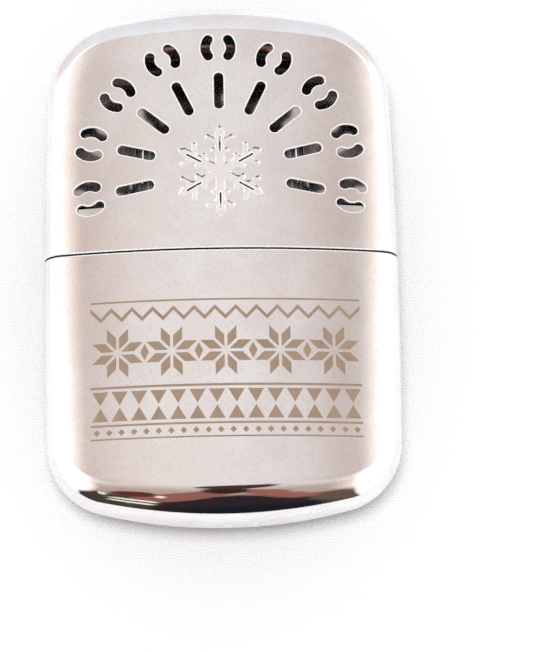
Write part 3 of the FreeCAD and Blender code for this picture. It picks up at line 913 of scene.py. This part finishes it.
felt = fluff("wool_felt", (0.74, 0.71, 0.64), (0.88, 0.86, 0.80), 2200)
cotton = fluff("cotton", (0.84, 0.83, 0.80), (0.94, 0.93, 0.91), 900)
fibre = fluff("glass_fibre", (0.36, 0.34, 0.31), (0.60, 0.57, 0.52), 3200)
print("soft finishes ready")


# %% Lumps
def lumps(points, scale):
    """A value from -1 to 1 that changes slowly from place to place."""
    waves = np.sin(points @ rng.normal(0, scale, (3, 9)) + rng.uniform(0, 6.3, 9)).mean(1)
    return np.clip(waves * 2, -1, 1)[:, None]


def soft_block(node, lump, depth, rounding, pitch):
    """A block with round edges and a lumpy skin that fills a node's box."""
    low, high = (np.array(corner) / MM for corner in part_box(node))
    middle, half = (low + high) / 2, (high - low) / 2 - depth
    shape = bmesh.new()
    bmesh.ops.create_cube(shape, size=2)
    cuts = int(half.max() * 2 / pitch)
    bmesh.ops.subdivide_edges(shape, edges=shape.edges, cuts=cuts, use_grid_fill=True)
    points = np.array([vertex.co for vertex in shape.verts]) * half
    faces = [[vertex.index for vertex in face.verts] for face in shape.faces]
    shape.free()
    core = np.clip(points, -(half - rounding), half - rounding)
    away = points - core
    ray = away / np.maximum(np.linalg.norm(away, axis=1), 1e-9)[:, None]
    return core + ray * (rounding + depth * lumps(points, lump)) + middle, faces


print("lumps ready")


# %% Cotton pressed into the tank
WADDING_GAP = 1.9
WADDING_LUMP = 0.35
WADDING_ROUND = 2.0


def pressed_cotton():
    """The skin of the tank moved in, with its open end drawn together like a full bag."""
    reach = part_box("cotton_wadding")[1].y / MM
    form = {**TANK, "mouth": WADDING_ROUND - reach - RIM}
    sheet = half_shell(form)
    skin, inward = np.array(sheet.outer), np.array(sheet.normals)
    skin = skin - inward * (WADDING_GAP + WADDING_LUMP * (1 + lumps(skin, 0.7)))
    points, faces = list(skin), list(sheet.faces)
    loop = sheet.rims[-1][0]
    middle = skin[loop].mean(0)
    last = loop
    outward = (skin[loop] - middle) / np.linalg.norm(skin[loop] - middle, axis=1)[:, None]
    for angle in np.linspace(0, math.pi / 2, 6)[1:]:
        shrink = WADDING_ROUND * (1 - math.cos(angle))
        ring = skin[loop] - outward * shrink
        ring[:, 1] = skin[loop][:, 1] - WADDING_ROUND * math.sin(angle)
        ids = list(range(len(points), len(points) + len(loop)))
        points += list(ring)
        faces += [(last[i - 1], last[i], ids[i], ids[i - 1]) for i in range(len(loop))]
        last = ids
    faces.append(tuple(last))
    return np.array(points) * half_turn, faces


print("the cotton keeps", WADDING_GAP, "mm off the outer skin of the tank")


# %% Stuffing
def stuff(name, node, finish, body, shape):
    """A padded piece in place of a node."""
    piece = link_mesh(name, *shape, [finish])
    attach(piece, body)
    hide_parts(node)


wick_shape = soft_block("wick_felt", lump=2.4, depth=0.05, rounding=1.2, pitch=0.7)
mat_shape = soft_block("catalyst_mat", lump=2.4, depth=0.1, rounding=1.2, pitch=0.7)
stuff("wick_felt_soft", "wick_felt", felt, "tank", wick_shape)
stuff("catalyst_mat_soft", "catalyst_mat", fibre, "burner", mat_shape)
stuff("cotton_wadding_soft", "cotton_wadding", cotton, "tank", pressed_cotton())

# %% [markdown]
# ## Cloth under the warmer
#
# The warmer lies on a white, finely woven cloth. Only its weave matters here, so a flat mesh
# with two crossed waves is enough; it belongs to the set and not to the object. Beside the warmer
# the weave is painted darker and pinker, a painted shadow, and further off it fades. Mirror rays
# see the cloth glow a little further off, a painted light that makes it brighter in the metal.


# %% The weave
def weave_finish():
    """Crossed waves, darker and pinker beside the warmer as a painted shadow, fainter further off.
    """
    finish, tree, shader = new_finish("white_cloth", roughness=0.9)
    place = place_of(tree)
    slant = add(tree, "ShaderNodeMapping", {"Vector": place, "Rotation": (0, 0, math.radians(43))})
    threads = crossed_waves(tree, slant.outputs[0], "MULTIPLY", 780, 0.4)
    far = turned_oval(tree, place, (0.038, 0.055))
    # the threads are the real weave; their extra depth and pink tint beside the warmer are painted
    # shadow
    clear = calc(tree, "MULTIPLY", threads, stretch(tree, far, 0.98, 1.35, 1, 0.15))
    tint = blend(tree, clear, (0.965, 0.963, 0.965), (0.58, 0.51, 0.54))
    # a painted glow that only mirror rays see, rising away from the warmer
    seen = add(tree, "ShaderNodeLightPath").outputs["Is Glossy Ray"]
    painted_glow = calc(tree, "MULTIPLY", seen, stretch(tree, far, 1.0, 1.3, 0, 0.1))
    feed(tree, shader, {"Base Color": tint, "Emission Color": tint, "Emission Strength": painted_glow})
    bump(tree, shader, threads, 0.00004)
    return finish


# %% The cloth
CLOTH_DROP = -0.05


def lay_cloth(half=600.0, front=-190.0, cells=12):
    row = cells + 1
    depths, widths = np.linspace(front, half, row), np.linspace(-half, half, row)
    points = [(x, y, CLOTH_DROP) for y in depths for x in widths]
    first = [i + j * row for j in range(cells) for i in range(cells)]
    faces = [(i, i + 1, i + 1 + row, i + row) for i in first]
    link_mesh("table_cloth", points, faces, [weave_finish()])


lay_cloth()

# %% [markdown]
# ## The room
#
# A polished thing shows the room more than itself, so the room is drawn as colours by direction:
# a warm ceiling, white screens to the left and right, a cool wall behind, and in front somebody
# who bends over the table before a dim brown wall. Two angles find any direction: how far it
# leans from straight up along the warmer, and how far it lies aside. Only mirror rays meet this
# room; anything dull is lit by a plain, faintly warm light, and the camera sees white.

# %% Colours as the metal shows them
ROOM_LIGHT = 1.3
METAL = (0.86, 0.86, 0.865)


def shown(*colour):
    """The colour of the room that the metal shows as this one, given in sRGB up to 255."""
    share = [c / 255 / 12.92 if c < 10.3 else ((c / 255 + 0.055) / 1.055) ** 2.4 for c in colour]
    return tuple(s / (ROOM_LIGHT * m) for s, m in zip(share, METAL))


WHITE = (1.0, 1.0, 1.0)
ALONG = [
    # from dark clothes, low in front, up the brown wall to where the lamps light it
    (-90, shown(28, 27, 31)), (-72, shown(44, 36, 40)), (-56, shown(76, 60, 54)),
    (-49, shown(116, 94, 84)), (-41, shown(178, 156, 146)), (-22, shown(186, 166, 156)),
    # the ceiling, its bright edge, and the cool wall behind
    (-5, shown(226, 217, 215)), (27, shown(212, 203, 200)), (30, shown(220, 213, 212)),
    (33, shown(238, 236, 239)), (42, shown(232, 231, 234)), (62, shown(229, 227, 232)),
    (90, shown(227, 227, 231)),
]  # fmt: skip
CEILING = [
    # lit edge on the left, a dimmer strip, the bright middle, a dimmer strip, lit edge on the right
    (-90, shown(240, 228, 220)), (-26, shown(240, 228, 220)), (-23, shown(208, 193, 186)),
    (-18, shown(222, 210, 206)), (-11, shown(231, 224, 221)), (3, shown(231, 224, 222)),
    (14, shown(218, 208, 205)), (21, shown(201, 186, 180)), (24, shown(205, 193, 188)),
    (27, shown(242, 236, 232)), (90, shown(242, 236, 232)),
]  # fmt: skip
print("stops along and across:", len(ALONG), len(CEILING))

# %% [markdown]
# ### Directions
#
# A world shader knows only the way that a ray goes. A ramp gives colours along one angle, and an
# oval is a scaled and turned circle of both. Real screens round the warmer would do the same,
# but they would be meshes to hide from everything else.

# %% Angles and spots
def degrees_of(tree, radians):
    return calc(tree, "MULTIPLY", radians, 180 / math.pi)


def ramp(tree, angle, stops):
    """Colours along an angle from -90 to 90 degrees."""
    made = add(tree, "ShaderNodeValToRGB", {"Fac": stretch(tree, angle, -90, 90, 0, 1)})
    ends = made.color_ramp.elements
    ends[0].color, ends[1].color = (*stops[0][1], 1), (*stops[-1][1], 1)
    for degrees, colour in stops[1:-1]:
        made.color_ramp.elements.new((degrees + 90) / 180).color = (*colour, 1)
    return made.outputs["Color"]


def spot(tree, angles, middle, reach, turn=0.0, soft=0.12):
    """1 inside an oval of directions and 0 outside it: middle and half size in degrees."""
    out = turned_oval(tree, angles, reach, middle, turn)
    return stretch(tree, out, 1 - soft, 1 + soft, 1, 0)


SPOTS = [
    # middle, half size, turn, softness and colour of each oval
    # two dim parts of the wall
    ((-34, -82), (20, 38), 0, 0.1, shown(68, 59, 55)),
    ((25, -77), (12, 30), 0, 0.12, shown(98, 82, 72)),
    # chest and lap
    ((3, -79), (20, 45), 0, 0.06, shown(44, 36, 41)),
    ((5, -92), (19, 22), 0, 0.3, shown(27, 29, 36)),
    # arms and a hand
    ((-11, -42), (6.5, 27), -27, 0.1, shown(146, 94, 86)),
    ((13.5, -36), (5, 22), 25, 0.15, shown(152, 98, 90)),
    ((-22, -40), (6, 9), -20, 0.12, shown(92, 48, 46)),
    # neck and head
    ((0.5, -20), (5.5, 9), 0, 0.12, shown(54, 36, 33)),
    ((3, -9.5), (8.5, 5.5), 0, 0.1, shown(74, 45, 50)),
    # two glints
    ((-15.6, -44), (1.3, 4), 0, 0.2, shown(255, 238, 235)),
    ((-30, -49), (1.1, 6), 10, 0.2, shown(236, 234, 230)),
]
print("spots in front:", len(SPOTS))


# %% A window with blinds
def blinds(tree, angles, aside, lean):
    """Bright slats of a window, seen low on the left."""
    window = spot(tree, angles, (-22.5, -68), (6.5, 12), soft=0.05)
    along = calc(tree, "ADD", lean, calc(tree, "MULTIPLY", aside, 0.25))
    slats = calc(tree, "SINE", calc(tree, "MULTIPLY", along, 0.63))
    return calc(tree, "MULTIPLY", window, stretch(tree, slats, -0.3, 0.0, 0, 1))


print("the blinds are slats in a soft oval")


# %% White screens at the sides
SCREENS = [
    # lean, then how far aside the left and the right screen begin, and how soft their edges are
    (-90, 53, 38, 2.5), (-74, 54, 36, 2.5), (-60, 48, 36, 3), (-50, 42, 35, 4), (-35, 36, 31, 5),
    (-25, 33.5, 30.5, 4.5), (-9, 32, 29.5, 4), (0, 28, 28, 3), (6, 26, 26.4, 1.8),
    (13, 24.6, 25.2, 1.3), (18, 25.2, 26.4, 1.2), (24.2, 25.2, 26.6, 1.5), (26, 20.8, 25, 2.4),
    (29, 18.5, 21.5, 3), (38, 38, 34, 5), (48, 46, 42, 6), (64, 56, 45, 6), (90, 62, 60, 6),
]  # fmt: skip


def past_screens(tree, aside, lean):
    """How far each direction is past the edge of a screen, in widths of that soft edge."""
    stops = [(degrees, tuple(angle / 90 for angle in angles)) for degrees, *angles in SCREENS]
    parts = add(tree, "ShaderNodeSeparateColor", {0: ramp(tree, lean, stops)}).outputs
    left, right, soft = (calc(tree, "MULTIPLY", part, 90.0) for part in parts)
    beyond_right = calc(tree, "SUBTRACT", aside, right)
    beyond_left = calc(tree, "SUBTRACT", calc(tree, "MULTIPLY", aside, -1.0), left)
    return calc(tree, "DIVIDE", calc(tree, "MAXIMUM", beyond_right, beyond_left), soft)


print("rows of screen edges:", len(SCREENS))


# %% Painting the room
PLAIN_LIGHT = (0.565, 0.52, 0.532)
WOBBLE = 1.2


def paint_room():
    """Layers from far to near: walls and ceiling, ovals, window, screens, and the plain light."""
    world = bpy.data.worlds.new("room")
    scene.world = world
    world.use_nodes = True
    tree = world.node_tree
    shader = tree.nodes["Background"]
    way = add(tree, "ShaderNodeTexCoord").outputs["Generated"]
    x, y, z = add(tree, "ShaderNodeSeparateXYZ", {0: way}).outputs
    lean = degrees_of(tree, calc(tree, "ARCTAN2", y, z))
    aside = degrees_of(tree, calc(tree, "ARCSINE", x))
    wobble = stretch(tree, noise(tree, way, 9, 3), 0.3, 0.7, -WOBBLE, WOBBLE)
    moved = (calc(tree, "ADD", angle, wobble) for angle in (aside, lean))
    angles = add(tree, "ShaderNodeCombineXYZ", enumerate(moved)).outputs[0]

    rising, falling = stretch(tree, lean, -10, 0, 0, 1), stretch(tree, lean, 31, 25, 0, 1)
    overhead = calc(tree, "MULTIPLY", rising, falling)
    colour = blend(tree, overhead, ramp(tree, lean, ALONG), ramp(tree, aside, CEILING))
    dimmer = calc(tree, "MULTIPLY", overhead, stretch(tree, lean, 17, 26, 0, 0.35))
    colour = blend(tree, dimmer, colour, shown(204, 193, 189))
    for middle, reach, turn, soft, paint in SPOTS:
        colour = blend(tree, spot(tree, angles, middle, reach, turn, soft), colour, paint)
    colour = blend(tree, blinds(tree, angles, aside, lean), colour, shown(240, 242, 220))

    past = past_screens(tree, aside, lean)
    colour = blend(tree, stretch(tree, past, -1.2, 0.0, 0, 0.85), colour, shown(250, 231, 217))
    colour = blend(tree, stretch(tree, past, -0.3, 1.0, 0, 1), colour, WHITE)
    path = add(tree, "ShaderNodeLightPath")
    plain = tuple(light / ROOM_LIGHT for light in PLAIN_LIGHT)
    seen = blend(tree, path.outputs["Is Glossy Ray"], plain, colour)
    backdrop = tuple(1 / ROOM_LIGHT for _ in range(3))
    colour = blend(tree, path.outputs["Is Camera Ray"], seen, backdrop)
    feed(tree, shader, {"Color": colour, "Strength": ROOM_LIGHT})
    print("room painted")


paint_room()

# %% [markdown]
# ## Camera
#
# The warmer is looked at from above its lower end, through a long lens, with a slight roll.

# %% The camera
IMAGE_HEIGHT = 652
FOCAL_PIXELS = 2313.0
DISTANCE = 443.26
ELEVATION = math.radians(73.36)
ROLL = math.radians(4.70)
YAW = math.radians(-5.80)
TARGET = Vector((8.692, -10.541, 0.0))


def set_camera():
    lens = bpy.data.cameras.new("camera")
    camera = linked("camera", lens)
    scene.camera = camera
    lens.sensor_width = 36
    lens.lens = FOCAL_PIXELS * lens.sensor_width / IMAGE_HEIGHT
    level = math.cos(ELEVATION)
    back = Vector((math.sin(YAW) * level, -math.cos(YAW) * level, math.sin(ELEVATION)))
    right = Vector((math.cos(YAW), math.sin(YAW), 0))
    up = back.cross(right)
    tilted_right = right * math.cos(ROLL) + up * math.sin(ROLL)
    tilted_up = up * math.cos(ROLL) - right * math.sin(ROLL)
    turn = Matrix((tilted_right, tilted_up, back)).transposed().to_4x4()
    camera.matrix_world = Matrix.Translation((TARGET + back * DISTANCE) * MM) @ turn
    lens.clip_start = 0.01
    print("lens", round(lens.lens, 1), "mm")


set_camera()

# %% [markdown]
# ## Light
#
# The cloth needs one soft shadow. A wide sun almost overhead gives it and reaches every part
# alike, where a lamp nearby would fall off. The metal doesn't mirror it, since the room holds
# all that the metal should show.

# %% The sun
def soft_sun(name, way, spread, colour, power):
    """Its spread, in degrees, gives the shadow its soft edge."""
    lamp = bpy.data.lights.new(name, "SUN")
    lamp.angle = math.radians(spread)
    lamp.color = colour
    lamp.energy = power
    thing = linked(name, lamp)
    thing.rotation_euler = (-Vector(way)).to_track_quat("-Z", "Y").to_euler()
    thing.visible_glossy = False


soft_sun("studio_light", (-0.06, 0.0, 1.0), 26, (0.925, 1.0, 0.98), 1.94)
scene.view_settings.view_transform = "Standard"
print("one soft light besides the room")
